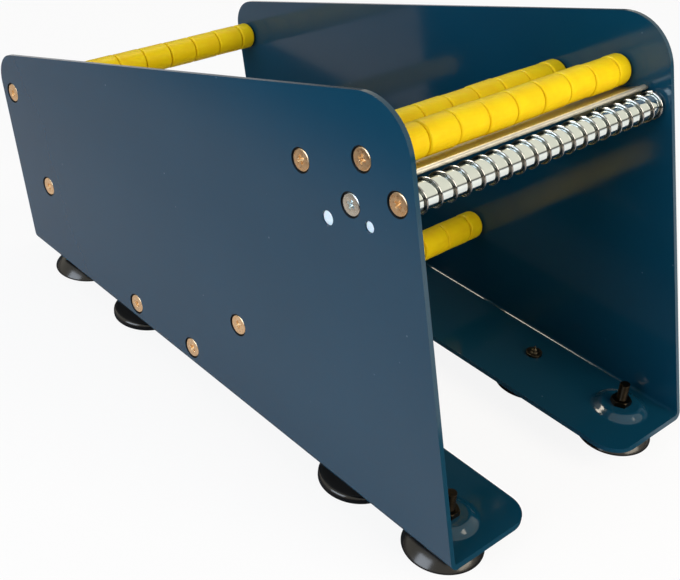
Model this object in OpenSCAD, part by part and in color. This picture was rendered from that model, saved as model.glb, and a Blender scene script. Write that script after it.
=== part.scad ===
// Bench label dispenser. Two bent steel side plates are tied together by steel rods.
// Loose moulded sleeves turn on five of the rods and carry the label roll and its web.
// A tube wound with spring wire grips the liner below the lip of the peel plate.
// +X is right, +Y is the rear and +Z is up. The origin is on the bench, under the middle.

/* [Side plates] */
// Width over the outer faces of the side plates
overall_w = 177; // [150:1:220]
// Thickness of the sheet
sheet_t = 2.5; // [2:0.1:3.6]
// Length of the plate along its top edge
plate_depth = 333.4; // [310:0.1:380]
// Length of the front edge, along its lean
plate_h = 212; // [200:0.1:240]
// Angle by which the front edge leans back, in degrees
lean = 16.5; // [15:0.5:18]
// Radius of the front top corner
front_fillet = 26.5; // [15:0.5:28]
// Radius of the rear top corner
rear_fillet = 16; // [6:0.5:17]
// Width of the flange, from the outer face of the plate
flange_w = 56; // [50:0.1:62]
// Radius of the flange's inner corners
flange_corner = 14; // [5:0.5:18]
// Inner radius of the bend
bend_r = 1.6; // [1:0.1:4]
// Height of the flange's underside over the bench
foot_h = 15; // [14:0.5:24]

/* [Rods and sleeves] */
// Diameter of the seven frame rods
rod_d = 10; // [9:0.1:11]
// Diameter of the rod inside the front roller
liner_rod_d = 8; // [7:0.1:8.4]
// Outer diameter of a sleeve
sleeve_d = 16; // [14:0.1:17]
// Length of a full sleeve
sleeve_l = 18.4; // [14:0.1:24]
// Gap between two sleeves
sleeve_gap = 0.36; // [0.2:0.01:0.8]
// Gap between the last sleeve and the plate
end_gap = 0.6; // [0.5:0.1:2]
// Radius of a sleeve's edges at a seam
seam_round = 0.5; // [0.2:0.05:0.8]
// Radius of the outer edges of the last sleeves
end_round = 2; // [1:0.1:2.2]
// Running clearance of a sleeve on its rod, on the radius
run_fit = 0.08; // [0.05:0.01:0.1]

/* [Rod places] */
// Front roller, back from the front edge along the top edge
liner_back = 10; // [9:0.1:12]
// Front roller, drop below the top edge
liner_drop = 44.6; // [44:0.1:47]
// Top roller, back from the front edge
top_back = 28.3; // [27:0.1:31]
// Top roller, drop below the top edge
top_drop = 28.2; // [24:0.1:29]
// Guide roller, back from the front edge
guide_back = 67; // [62:0.1:90]
// Guide roller, drop below the top edge
guide_drop = 33; // [20:0.1:36]
// Rear top roller, distance from the rear edge
rear_inset = 10.3; // [9.5:0.1:20]
// Rear top roller, drop below the top edge
rear_drop = 22; // [18:0.1:34]
// Rear low roller, distance from the rear edge
low_rear_inset = 30.1; // [20:0.1:40]
// Rear low roller, height over the flange's underside
low_rear_h = 44.5; // [37:0.1:48]
// Front low roller, height over the flange's underside
low_front_h = 46; // [37:0.1:52]
// Clearance between the two base rods and the flange
base_rod_gap = 3; // [0.3:0.1:4]

/* [Front roller] */
// Diameter of the tube
tube_d = 12; // [11.2:0.1:12.2]
// Gap between the tube's end and the plate
tube_gap = 0.5; // [0.3:0.1:3]
// Diameter of the grip wire
wire_d = 1.16; // [0.8:0.02:1.4]
// Pitch of the grip wire
wire_pitch = 8.6; // [6:0.1:12]
// Distance from the tube's end to the wire's first turn
wire_inset = 1.4; // [1.2:0.1:6]
// Clearance between the wire and the tube
wire_gap = 0.05; // [0.03:0.01:0.15]

/* [Peel plate] */
// Thickness of the peel plate
peel_t = 1.2; // [1:0.1:1.5]
// Length of the peel plate from its lip to its rear edge
peel_l = 42.4; // [40:0.1:44]
// Lip, back from the front edge
lip_back = 13; // [12.4:0.1:13.6]
// Lip, drop below the top edge
lip_drop = 35.7; // [35:0.1:35.8]
// Diameter of the rounded lip
lip_d = 2.5; // [2.2:0.1:2.8]
// Gap between the end of the lip and the side plate
lip_end_gap = 3; // [1:0.1:4]
// Gap between the peel plate and the top roller
peel_gap = 1.2; // [0.6:0.1:1.5]
// Peel screw, back from the front edge
peel_screw_back = 38.2; // [37:0.1:39]
// Peel screw, drop below the top edge
peel_screw_drop = 48.7; // [48.4:0.1:49.5]
// Front plug, back from the front edge
front_pin_back = 28.1; // [27:0.1:29]
// Rear plug, back from the front edge
rear_pin_back = 54; // [53:0.1:56]
// Both plugs, drop below the top edge
pin_drop = 56.8; // [56.5:0.1:60]
// Diameter of the front plug
front_pin_d = 5.4; // [5:0.1:6]
// Diameter of the rear plug
rear_pin_d = 7; // [6:0.1:8]
// Depth of the plugs' faces below the plate's outer face
pin_sink = 1; // [0.4:0.1:1.5]

/* [Screws] */
// Diameter of a screw head
head_d = 11; // [9:0.1:11.2]
// Diameter of a screw shank
shank_d = 5.6; // [4.6:0.1:5.8]
// Length of a rod screw below its head's face
screw_l = 14; // [10:0.5:18]
// Depth of the head's face below the plate
head_sink = 0.3; // [0.1:0.05:0.4]
// Clearance round the screws, studs and pins, on the radius
hole_fit = 0.06; // [0.04:0.01:0.1]

/* [Feet] */
// Distance from the plate's outer face to the feet
foot_inset = 22; // [20.5:0.1:27]
// Front suction cup, distance from the front edge of the flange
cup_front = 23.9; // [21:0.1:34]
// Rear suction cup, distance from the rear edge of the flange
cup_rear = 22.4; // [21:0.1:30]
// Front disc foot, distance from the front edge of the flange
disc_front = 82.2; // [75:0.1:120]
// Rear disc foot, distance from the rear edge of the flange
disc_rear = 85.8; // [65:0.1:90]
// Diameter of a suction cup at the bench
cup_d = 39.5; // [36:0.5:42]
// Diameter of a suction cup's neck
cup_neck_d = 14; // [12:0.1:14.4]
// Height of the dome of a suction cup
cup_dome_h = 9; // [7:0.1:12]
// Thickness of a suction cup's rim
cup_rim_t = 1.2; // [0.8:0.1:2]
// Depth of the hollow under a suction cup
cup_hollow = 1.2; // [0.6:0.1:2]
// Diameter of a stud
stud_d = 5.6; // [5:0.1:6.2]
// Height of a stud's end over the flange's underside
stud_top = 17.5; // [13:0.5:26]
// Width across the flats of a nut
nut_af = 9.6; // [9:0.1:11]
// Height of a nut
nut_h = 3; // [2.6:0.1:6]
// Diameter of the raised pad round a stud, at the flange
pad_d = 29; // [26:0.5:30]
// Diameter of the top of the raised pad
pad_top_d = 21; // [17.5:0.5:22]
// Height of the raised pad over the flange
pad_h = 2.8; // [2.2:0.1:4]
// Diameter of a disc foot
disc_d = 39.6; // [32:0.1:42]
// Height of the disc of a disc foot
disc_t = 4.2; // [4:0.1:8]
// Radius of the rim of the disc
disc_round = 2; // [1:0.1:2.4]
// Diameter of a disc foot's neck
disc_neck_d = 18; // [15:0.1:20]
// Diameter of a disc foot's screw
foot_screw_d = 5.2; // [4.6:0.1:5.6]
// Height of a disc foot screw's tip over the flange's top
foot_screw_out = 5.5; // [4:0.1:7]
// Outer diameter of the lock ring on a disc foot's screw
ring_d = 9; // [8:0.1:11]
// Thickness of the lock ring
ring_t = 1.5; // [1:0.1:2]

/* [Hidden] */
$fn = 64;
cut = 1;

// Places along the flange of the rods that the front edge doesn't carry
low_front_share = 0.439;
front_base_share = 0.546;
rear_base_share = 0.693;

blue = "#0d3c52";
yellow = "#e6c21a";
steel = "#b8bcc0";
zinc = "#c58a50";
black = "#161616";
bronze = "#4a4438";

inner_w = overall_w - 2 * sheet_t;
inner_x = inner_w / 2;
outer_x = overall_w / 2;
bend_out = bend_r + sheet_t;
base_l = plate_depth / cos(lean);
corner_loss = sin(lean) + cos(lean) - 1;
reach = plate_h * sin(lean) + plate_depth * cos(lean) - rear_fillet * corner_loss;
front_y = -reach / 2;
rear_y = front_y + base_l;
top_y = front_y + plate_h * sin(lean);
top_z = foot_h + plate_h * cos(lean);

// A place on the side plate, [y, z], from its setback and its drop from the top edge
function on_plate(back, drop) = [
    top_y + back * cos(lean) - drop * sin(lean),
    top_z - back * sin(lean) - drop * cos(lean)
];

liner_at = on_plate(liner_back, liner_drop);
top_at = on_plate(top_back, top_drop);
guide_at = on_plate(guide_back, guide_drop);
rear_top_at = on_plate(plate_depth - rear_inset, rear_drop);
rear_low_at = [
    rear_y + low_rear_h * tan(lean) - low_rear_inset / cos(lean),
    foot_h + low_rear_h
];
front_low_at = [front_y + low_front_share * base_l, foot_h + low_front_h];
base_rod_z = foot_h + sheet_t + base_rod_gap + rod_d / 2;
front_base_at = [front_y + front_base_share * base_l, base_rod_z];
rear_base_at = [front_y + rear_base_share * base_l, base_rod_z];
rod_screw_places = [
    rear_top_at, rear_low_at, rear_base_at, front_base_at,
    front_low_at, guide_at, top_at, liner_at
];

// Sleeves: full ones in the middle and a shorter one at each end
row_l = inner_w - 2 * end_gap;
end_min = sleeve_l / 2;
full_count = floor((row_l - 2 * end_min - sleeve_gap) / (sleeve_l + sleeve_gap));
end_l = (row_l - full_count * sleeve_l - (full_count + 1) * sleeve_gap) / 2;
sleeve_r = sleeve_d / 2;
sleeve_bore = rod_d / 2 + run_fit;

// Screws
head_r = head_d / 2;
shank_r = shank_d / 2;
sink_r = head_r + head_sink + hole_fit;
through_r = shank_r + hole_fit;
rod_sink_r = max(through_r, sink_r - sheet_t);
rod_sink_h = rod_sink_r - through_r;
tip_room = 1;
slot_l = head_d * 0.54;
slot_w = head_d * 0.11;
slot_deep = head_d * 0.15;

// Grip wire: six sided, eight rings a turn, and its rings stay clear of the tube
tube_r = tube_d / 2;
wire_r = wire_d / 2;
wire_sides = 6;
wire_rings = 8;
wire_coil_r = (tube_r + wire_r + wire_gap) / cos(180 / wire_rings);
tube_l = inner_w - 2 * tube_gap;
wire_span = tube_l - 2 * wire_inset;
wire_steps = floor(wire_span / wire_pitch * wire_rings);
wire_l = wire_steps * wire_pitch / wire_rings;
wire_rise = wire_pitch / 360;

// Peel plate
pin_places = [on_plate(front_pin_back, pin_drop), on_plate(rear_pin_back, pin_drop)];
pin_ds = [front_pin_d, rear_pin_d];
peel_screw_at = on_plate(peel_screw_back, peel_screw_drop);
lip_at = on_plate(lip_back, lip_drop);
to_top = top_at - lip_at;
peel_angle = atan2(to_top[1], to_top[0]) - asin((sleeve_r + peel_gap) / norm(to_top));
tab_edge = 3.8;
tab_under_nut = 1.7;
peel_nut_af = 8;
peel_nut_h = 4;
peel_screw_out = 1;
tab_drop = peel_screw_drop + peel_nut_af / 2 / cos(30) + tab_under_nut;

// Feet
foot_x = outer_x - foot_inset;
front_cup_y = front_y + cup_front;
rear_cup_y = rear_y - cup_rear;
front_disc_y = front_y + disc_front;
rear_disc_y = rear_y - disc_rear;
flange_z = foot_h + sheet_t;
pad_z = flange_z + pad_h;
stud_r = stud_d / 2;
stud_hole = stud_r + hole_fit;
stud_seat = foot_h / 2;
hollow_d = pad_d - sheet_t;
hollow_top_d = pad_top_d - sheet_t;
cup_top_z = foot_h + pad_h;
nut_chamfer = 0.6;
foot_screw_r = foot_screw_d / 2;
foot_head_d = 9;
foot_head_h = 2.6;
foot_head_sink = 1;
foot_head_room = 0.4;
foot_tip = 3.5;

module along_x(at, x0) {
    translate([x0, at[0], at[1]])
        rotate([0, 90, 0])
            children();
}

// Both sides: the children are drawn for the left one and mirrored to the right one
module right() {
    mirror([1, 0, 0])
        children();
}

module plate_outline() {
    intersection() {
        translate([front_y, foot_h])
            rotate(-lean) {
                square([plate_depth, plate_h - front_fillet]);
                translate([front_fillet, 0])
                    square([plate_depth - front_fillet - rear_fillet, plate_h]);
                translate([plate_depth / 2, 0])
                    square([plate_depth / 2, plate_h - rear_fillet]);
                translate([front_fillet, plate_h - front_fillet])
                    circle(front_fillet);
                translate([plate_depth - rear_fillet, plate_h - rear_fillet])
                    circle(rear_fillet);
            }
        translate([front_y - cut, foot_h])
            square([reach + 2 * cut, plate_h + cut]);
    }
}

// A corner piece of the bent profile, wide and high enough to run past the outline
module bent_corner(r) {
    translate([r, 0])
        square([flange_w, plate_h + 2 * cut]);
    translate([0, r])
        square([flange_w, plate_h + 2 * cut]);
    translate([r, r])
        circle(r);
}

module bent_profile() {
    difference() {
        bent_corner(bend_out);
        translate([sheet_t, sheet_t])
            bent_corner(bend_r);
    }
}

module flange_plan() {
    straight_l = base_l - 2 * flange_corner;
    translate([-outer_x, front_y + flange_corner])
        square([flange_w, straight_l]);
    translate([-outer_x, front_y - cut])
        square([flange_w - flange_corner, reach + 2 * cut]);
    translate([-outer_x + flange_w - flange_corner, front_y + flange_corner])
        circle(flange_corner);
    translate([-outer_x + flange_w - flange_corner, rear_y - flange_corner])
        circle(flange_corner);
}

module bent_sheet() {
    intersection() {
        translate([-outer_x, front_y + reach + cut, foot_h])
            rotate([90, 0, 0])
                linear_extrude(reach + 2 * cut)
                    bent_profile();
        translate([-outer_x, 0, 0])
            rotate([90, 0, 90])
                linear_extrude(flange_w)
                    plate_outline();
        translate([0, 0, foot_h])
            linear_extrude(plate_h)
                flange_plan();
    }
}

module countersunk_hole(at) {
    along_x(at, -outer_x - cut)
        cylinder(r = through_r, h = sheet_t + 2 * cut);
    along_x(at, -outer_x)
        cylinder(r1 = sink_r, r2 = through_r, h = sink_r - through_r);
}

module side_plate() {
    color(blue)
        difference() {
            union() {
                bent_sheet();
                for (y = [front_cup_y, rear_cup_y])
                    translate([-foot_x, y, flange_z])
                        cylinder(d1 = pad_d, d2 = pad_top_d, h = pad_h);
            }
            for (at = rod_screw_places)
                countersunk_hole(at);
            countersunk_hole(peel_screw_at);
            for (i = [0, 1])
                along_x(pin_places[i], -outer_x - cut)
                    cylinder(d = pin_ds[i] + 2 * hole_fit, h = sheet_t + 2 * cut);
            for (y = [front_cup_y, rear_cup_y]) {
                translate([-foot_x, y, foot_h])
                    cylinder(d1 = hollow_d, d2 = hollow_top_d, h = pad_h);
                translate([-foot_x, y, foot_h])
                    cylinder(r = stud_hole, h = sheet_t + pad_h + cut);
            }
            for (y = [front_disc_y, rear_disc_y])
                translate([-foot_x, y, foot_h - cut])
                    cylinder(r = foot_screw_r + hole_fit, h = sheet_t + 2 * cut);
        }
}

// A tie rod between the side plates, tapped at both ends
module tie_rod(at, d) {
    hole_l = screw_l - sheet_t + tip_room;
    color(steel)
        difference() {
            along_x(at, -inner_x)
                cylinder(d = d, h = inner_w);
            along_x(at, -inner_x - cut)
                cylinder(r = through_r, h = hole_l + cut);
            along_x(at, inner_x - hole_l)
                cylinder(r = through_r, h = hole_l + cut);
            if (rod_sink_h > 0) {
                along_x(at, -inner_x)
                    cylinder(r1 = rod_sink_r, r2 = through_r, h = rod_sink_h);
                along_x(at, inner_x - rod_sink_h)
                    cylinder(r1 = through_r, r2 = rod_sink_r, h = rod_sink_h);
            }
        }
}

module rounded_edge(r) {
    difference() {
        square(r + cut);
        circle(r);
    }
}

// One sleeve, standing on its near end, with its own radius at each end
module sleeve(l, near_round, far_round) {
    rotate_extrude()
        difference() {
            translate([sleeve_bore, 0])
                square([sleeve_r - sleeve_bore, l]);
            translate([sleeve_r - near_round, near_round])
                mirror([0, 1])
                    rounded_edge(near_round);
            translate([sleeve_r - far_round, l - far_round])
                rounded_edge(far_round);
        }
}

module sleeve_row(at) {
    start = -row_l / 2;
    step = sleeve_l + sleeve_gap;
    first = start + end_l + sleeve_gap;
    color(yellow) {
        along_x(at, start)
            sleeve(end_l, end_round, seam_round);
        for (i = [0 : full_count - 1])
            along_x(at, first + i * step)
                sleeve(sleeve_l, seam_round, seam_round);
        along_x(at, row_l / 2 - end_l)
            sleeve(end_l, seam_round, end_round);
    }
}

module liner_tube() {
    color(steel)
        along_x(liner_at, -tube_l / 2)
            difference() {
                cylinder(d = tube_d, h = tube_l);
                translate([0, 0, -cut])
                    cylinder(d = liner_rod_d + 2 * run_fit, h = tube_l + 2 * cut);
            }
}

// The grip wire's middle line. Its ends run straight on for one wire diameter.
function wire_turn(i) = i * 360 / wire_rings;
function wire_out(i) = [0, cos(wire_turn(i)), sin(wire_turn(i))];
function wire_along(i) = let (
        circle_share = wire_coil_r * PI / 180,
        run = [wire_rise, -circle_share * sin(wire_turn(i)), circle_share * cos(wire_turn(i))]
    ) run / norm(run);
function wire_point(i) = [-wire_l / 2 + wire_turn(i) * wire_rise, 0, 0] + wire_coil_r * wire_out(i);
wire_path = concat(
    [wire_point(0) - wire_d * wire_along(0)],
    [for (i = [0 : wire_steps]) wire_point(i)],
    [wire_point(wire_steps) + wire_d * wire_along(wire_steps)]
);
wire_last = len(wire_path) - 1;
function ring_index(k) = max(0, min(wire_steps, k - 1));
function wire_ring(k) = let (
        i = ring_index(k),
        out = wire_out(i),
        side = cross(wire_along(i), out)
    ) [for (j = [0 : wire_sides - 1])
        let (a = j * 360 / wire_sides)
            wire_path[k] + wire_r * (cos(a) * out + sin(a) * side)];
wire_points = [for (k = [0 : wire_last]) each wire_ring(k)];
wire_faces = concat(
    [for (j = [1 : wire_sides - 2]) [0, j, j + 1]],
    [for (k = [0 : wire_last - 1], j = [0 : wire_sides - 1])
        let (
            a = k * wire_sides + j,
            b = k * wire_sides + (j + 1) % wire_sides
        )
        each [[a, a + wire_sides, b], [b, a + wire_sides, b + wire_sides]]],
    [for (j = [1 : wire_sides - 2])
        let (first = wire_last * wire_sides)
            [first, first + j + 1, first + j]]
);

// The least distance between points that lie more than half a turn apart along the wire
wire_self_gap = min([
    for (i = [0 : wire_last], j = [i + wire_rings / 2 + 1 : min(wire_last, i + 3 * wire_rings)])
        norm(wire_path[i] - wire_path[j]) - wire_d
]);
echo(str("Least gap of the grip wire to itself, mm: ", wire_self_gap));

module grip_spring() {
    color("gainsboro")
        translate([0, liner_at[0], liner_at[1]])
            polyhedron(wire_points, wire_faces);
}

// Drawn in the peel plate's own frame: the lip at zero and the sheet running to the rear
module peel_section() {
    translate([0, -peel_t])
        square([peel_l, peel_t]);
}

function off_peel(l, up) = lip_at + [
    l * cos(peel_angle) - up * sin(peel_angle),
    l * sin(peel_angle) + up * cos(peel_angle)
];

module peel_sheet(w) {
    translate([-w / 2, lip_at[0], lip_at[1]])
        rotate([90, 0, 90])
            linear_extrude(w)
                rotate(peel_angle)
                    children();
}

module tab_outline() {
    polygon([
        on_plate(front_pin_back - tab_edge, tab_drop),
        on_plate(rear_pin_back + tab_edge, tab_drop),
        off_peel(peel_l, -peel_t / 2),
        off_peel(lip_d, -peel_t / 2)
    ]);
}

module peel_plate() {
    color(steel)
        difference() {
            union() {
                peel_sheet(inner_w - 2 * lip_end_gap)
                    circle(d = lip_d);
                peel_sheet(inner_w)
                    peel_section();
                for (x = [-inner_x, inner_x - peel_t])
                    translate([x, 0, 0])
                        rotate([90, 0, 90])
                            linear_extrude(peel_t)
                                tab_outline();
            }
            along_x(peel_screw_at, -inner_x - cut)
                cylinder(r = rod_sink_r, h = inner_w + 2 * cut);
        }
}

module peel_pins() {
    color("white")
        for (i = [0, 1])
            along_x(pin_places[i], -outer_x + pin_sink)
                cylinder(d = pin_ds[i], h = sheet_t - pin_sink);
}

module cross_slot() {
    translate([-slot_l / 2, -slot_w / 2, -cut])
        cube([slot_l, slot_w, slot_deep + cut]);
    translate([-slot_w / 2, -slot_l / 2, -cut])
        cube([slot_w, slot_l, slot_deep + cut]);
}

// A countersunk screw, its face at zero and its shank pointing up
module countersunk_screw(l) {
    difference() {
        union() {
            cylinder(r1 = head_r, r2 = shank_r, h = head_r - shank_r);
            cylinder(r = shank_r, h = l);
        }
        cross_slot();
    }
}

module rod_screws() {
    color(zinc)
        for (at = rod_screw_places)
            along_x(at, -outer_x + head_sink)
                countersunk_screw(screw_l - head_sink);
}

module peel_screw() {
    color(steel)
        along_x(peel_screw_at, -outer_x + head_sink)
            countersunk_screw(sheet_t - head_sink + peel_t + peel_nut_h + peel_screw_out);
}

module peel_nut() {
    color(steel)
        along_x(peel_screw_at, -inner_x + peel_t)
            difference() {
                cylinder(r = peel_nut_af / 2 / cos(30), h = peel_nut_h, $fn = 6);
                translate([0, 0, -cut])
                    cylinder(r = through_r, h = peel_nut_h + 2 * cut);
            }
}

module at_foot(y) {
    translate([-foot_x, y, 0])
        children();
}

module cup(y) {
    cup_r = cup_d / 2;
    neck_r = cup_neck_d / 2;
    color(black)
        at_foot(y)
            difference() {
                union() {
                    cylinder(r = cup_r, h = cup_rim_t);
                    translate([0, 0, cup_rim_t])
                        cylinder(r1 = cup_r, r2 = neck_r, h = cup_dome_h - cup_rim_t);
                    cylinder(r = neck_r, h = cup_top_z);
                }
                translate([0, 0, -cut])
                    cylinder(r1 = cup_r - cup_rim_t, r2 = 0, h = cup_hollow + cut);
                translate([0, 0, stud_seat])
                    cylinder(r = stud_hole, h = cup_top_z);
            }
}

module stud(y) {
    color(bronze)
        at_foot(y)
            translate([0, 0, stud_seat])
                cylinder(r = stud_r, h = foot_h + stud_top - stud_seat);
}

module nut(y) {
    nut_r = nut_af / 2 / cos(30);
    color(bronze)
        at_foot(y)
            translate([0, 0, pad_z])
                difference() {
                    intersection() {
                        cylinder(r = nut_r, h = nut_h, $fn = 6);
                        union() {
                            cylinder(r = nut_r + cut, h = nut_h - nut_chamfer);
                            translate([0, 0, nut_h - nut_chamfer])
                                cylinder(r1 = nut_r, r2 = nut_r - nut_chamfer, h = nut_chamfer);
                        }
                    }
                    translate([0, 0, -cut])
                        cylinder(r = stud_hole, h = nut_h + 2 * cut);
                }
}

module disc(y) {
    disc_r = disc_d / 2;
    color(black)
        at_foot(y)
            difference() {
                union() {
                    rotate_extrude()
                        difference() {
                            square([disc_r, disc_t]);
                            translate([disc_r - disc_round, disc_t - disc_round])
                                rounded_edge(disc_round);
                        }
                    cylinder(d = disc_neck_d, h = foot_h);
                }
                translate([0, 0, -cut])
                    cylinder(d = foot_head_d + 2 * foot_head_room, h = foot_head_sink + foot_head_h + cut);
                cylinder(r = foot_screw_r + hole_fit, h = foot_h + cut);
            }
}

module foot_screw(y) {
    tip_z = flange_z + foot_screw_out;
    color(bronze)
        at_foot(y) {
            translate([0, 0, foot_head_sink])
                difference() {
                    cylinder(d = foot_head_d, h = foot_head_h);
                    cross_slot();
                }
            translate([0, 0, foot_head_sink + foot_head_h])
                cylinder(r = foot_screw_r, h = tip_z - foot_tip - foot_head_sink - foot_head_h);
            translate([0, 0, tip_z - foot_tip])
                cylinder(r1 = foot_screw_r, r2 = foot_screw_r / 4, h = foot_tip);
        }
}

module foot_ring(y) {
    color(bronze)
        at_foot(y)
            translate([0, 0, flange_z])
                difference() {
                    cylinder(d = ring_d, h = ring_t);
                    translate([0, 0, -cut])
                        cylinder(r = foot_screw_r + hole_fit, h = ring_t + 2 * cut);
                }
}

side_plate();  // left_side_plate
right() side_plate();  // right_side_plate

tie_rod(rear_top_at, rod_d);  // rear_top_rod
tie_rod(rear_low_at, rod_d);  // rear_low_rod
tie_rod(rear_base_at, rod_d);  // rear_base_rod
tie_rod(front_base_at, rod_d);  // front_base_rod
tie_rod(front_low_at, rod_d);  // front_low_rod
tie_rod(guide_at, rod_d);  // guide_rod
tie_rod(top_at, rod_d);  // top_rod
tie_rod(liner_at, liner_rod_d);  // liner_rod

sleeve_row(rear_top_at);  // rear_top_sleeves
sleeve_row(rear_low_at);  // rear_low_sleeves
sleeve_row(front_low_at);  // front_low_sleeves
sleeve_row(guide_at);  // guide_sleeves
sleeve_row(top_at);  // top_sleeves

liner_tube();
grip_spring();

peel_plate();
peel_pins();  // left_peel_pins
right() peel_pins();  // right_peel_pins
peel_screw();  // left_peel_screw
right() peel_screw();  // right_peel_screw
peel_nut();  // left_peel_nut
right() peel_nut();  // right_peel_nut
rod_screws();  // left_rod_screws
right() rod_screws();  // right_rod_screws

cup(front_cup_y);  // front_left_cup
right() cup(front_cup_y);  // front_right_cup
cup(rear_cup_y);  // rear_left_cup
right() cup(rear_cup_y);  // rear_right_cup
stud(front_cup_y);  // front_left_stud
right() stud(front_cup_y);  // front_right_stud
stud(rear_cup_y);  // rear_left_stud
right() stud(rear_cup_y);  // rear_right_stud
nut(front_cup_y);  // front_left_nut
right() nut(front_cup_y);  // front_right_nut
nut(rear_cup_y);  // rear_left_nut
right() nut(rear_cup_y);  // rear_right_nut

disc(front_disc_y);  // front_left_disc
right() disc(front_disc_y);  // front_right_disc
disc(rear_disc_y);  // rear_left_disc
right() disc(rear_disc_y);  // rear_right_disc
foot_screw(front_disc_y);  // front_left_foot_screw
right() foot_screw(front_disc_y);  // front_right_foot_screw
foot_screw(rear_disc_y);  // rear_left_foot_screw
right() foot_screw(rear_disc_y);  // rear_right_foot_screw
foot_ring(front_disc_y);  // front_left_foot_ring
right() foot_ring(front_disc_y);  // front_right_foot_ring
foot_ring(rear_disc_y);  // rear_left_foot_ring
right() foot_ring(rear_disc_y);  // rear_right_foot_ring
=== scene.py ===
import math
import random

import bmesh
import bpy
from bpy.props import FloatProperty, FloatVectorProperty, IntProperty, PointerProperty
from mathutils import Matrix, Vector


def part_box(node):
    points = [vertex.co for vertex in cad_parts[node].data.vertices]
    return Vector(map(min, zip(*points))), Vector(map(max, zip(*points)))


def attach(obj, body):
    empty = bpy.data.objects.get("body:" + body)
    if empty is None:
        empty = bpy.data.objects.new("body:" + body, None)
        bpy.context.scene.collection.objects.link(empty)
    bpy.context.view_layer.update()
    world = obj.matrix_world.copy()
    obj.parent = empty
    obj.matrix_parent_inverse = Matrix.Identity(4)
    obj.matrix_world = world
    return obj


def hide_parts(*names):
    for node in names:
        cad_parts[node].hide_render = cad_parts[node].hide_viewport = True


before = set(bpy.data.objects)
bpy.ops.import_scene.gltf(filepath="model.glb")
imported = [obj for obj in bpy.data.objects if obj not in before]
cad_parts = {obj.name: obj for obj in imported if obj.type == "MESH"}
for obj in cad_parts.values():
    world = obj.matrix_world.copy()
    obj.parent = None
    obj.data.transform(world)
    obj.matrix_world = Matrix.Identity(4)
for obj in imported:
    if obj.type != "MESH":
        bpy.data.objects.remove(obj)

bl_info = {
    "name": "Label Dispenser",
    "version": (1, 0, 0),
    "blender": (4, 5, 0),
    "location": "View3D > Sidebar > Dispenser",
    "description": "Dresses the packed bench label dispenser with finished pieces and materials",
    "category": "Object",
}

MM = 0.001
SEED = 7
FULL_TURN = 2 * math.pi
FLAT_ANGLE = math.radians(0.4)  # Faces of a CAD mesh that turn by less than this are one flat face
FRAME_BODY = "frame"
SIDES = ("left", "right")
CORNERS = ("front_left", "front_right", "rear_left", "rear_right")
SLEEVED = ("rear_top", "rear_low", "front_low", "guide", "top")
ALONG_X = Vector((1, 0, 0))
UP = Vector((0, 0, 1))


def linear(hex_colour):
    """Turns an sRGB hex colour into Blender's linear one."""
    shares = [int(hex_colour[i : i + 2], 16) / 255 for i in (1, 3, 5)]
    return tuple(s / 12.92 if s <= 0.04045 else ((s + 0.055) / 1.055) ** 2.4 for s in shares)


def middle(node):
    """The middle of a node's box at rest."""
    low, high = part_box(node)
    return (low + high) / 2


def below(node):
    """The point on the bench under a node's middle."""
    centre = middle(node)
    return Vector((centre.x, centre.y, 0))


def half(node, way):
    """Half a node's size along x, y or z: the radius of a round node."""
    low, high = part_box(node)
    return (getattr(high, way) - getattr(low, way)) / 2


def rod_nodes():
    """The names of the rods' nodes."""
    return [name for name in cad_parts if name.endswith("_rod")]


# Sizes and colours that a user would change


def distance(name, description, size_mm):
    """A length that a user can change, given in millimetres."""
    return FloatProperty(name=name, description=description, default=size_mm * MM, min=0,
                         subtype="DISTANCE", unit="LENGTH")


def paint(name, description, hex_colour):
    """A colour that a user can change."""
    return FloatVectorProperty(name=name, description=description, default=linear(hex_colour),
                               min=0, max=1, subtype="COLOR")


class PlateSettings(bpy.types.PropertyGroup):
    colour: paint("Colour", "Powder coat of the side plates", "#0a3a50")
    # Within this reach of a hole, the countersink walls get painted shade, a near-black material for the
    # shadow round each head
    sink_reach: distance("Countersink reach", "Radius round a screw where cut steel is bare", 6.4)
    edge_round: distance("Edge rounding", "Radius that the coat leaves on the sheet's edges", 0.45)
    pad_round: distance("Pad rounding", "Radius where the pressed pads leave the flange", 1.3)


class SleeveSettings(bpy.types.PropertyGroup):
    colour: paint("Colour", "Moulded plastic of the sleeves", "#f0d313")
    length: distance("Length", "Length of a full sleeve", 18.4)
    gap: distance("Gap", "Gap between two sleeves", 0.36)
    seam_round: distance("Seam rounding", "Radius of a sleeve's edges at a seam", 1.3)
    end_round: distance("End rounding", "Radius of the outer edges of the last sleeves", 2.5)
    looseness: distance("Looseness", "Gap between a sleeve's bore and its rod", 0.3)
    tilt: FloatProperty(
        name="Tilt", description="Most that a loose sleeve leans on its rod, in degrees",
        default=0.5, min=0, max=1)
    steps: IntProperty(name="Steps", description="Steps round a sleeve", default=72, min=16)


class RollerSettings(bpy.types.PropertyGroup):
    pitch: distance("Pitch", "Pitch of the grip wire", 8.6)
    wire: distance("Wire", "Diameter of the grip wire", 1.16)
    slack: distance("Slack", "Gap between the tube and the wire", 0.07)
    turn_steps: IntProperty(
        name="Steps in a turn", description="Rings in one turn of the wire", default=40, min=12)


class FixingSettings(bpy.types.PropertyGroup):
    screw_colour: paint("Rod screws", "Yellow zinc on the rod screws", "#efd0a8")
    slot_length: distance("Cross length", "Length of the cross in a screw head", 6.4)
    slot_width: distance("Cross width", "Width of a wing of the cross", 1.5)
    slot_depth: distance("Cross depth", "Depth of the cross", 2.4)
    head: distance("Head", "Diameter of a countersunk head", 11)
    shank: distance("Shank", "Diameter of a screw's shank", 5.6)
    rim: distance("Rim", "Radius of the rolled rim of a countersunk head", 0.6)
    template: distance("Template length", "Length of the screw that the others are drawn out from", 10)
    edge_round: distance("Edge rounding", "Radius of the edges of rods, nuts and rings", 0.18)


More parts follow.
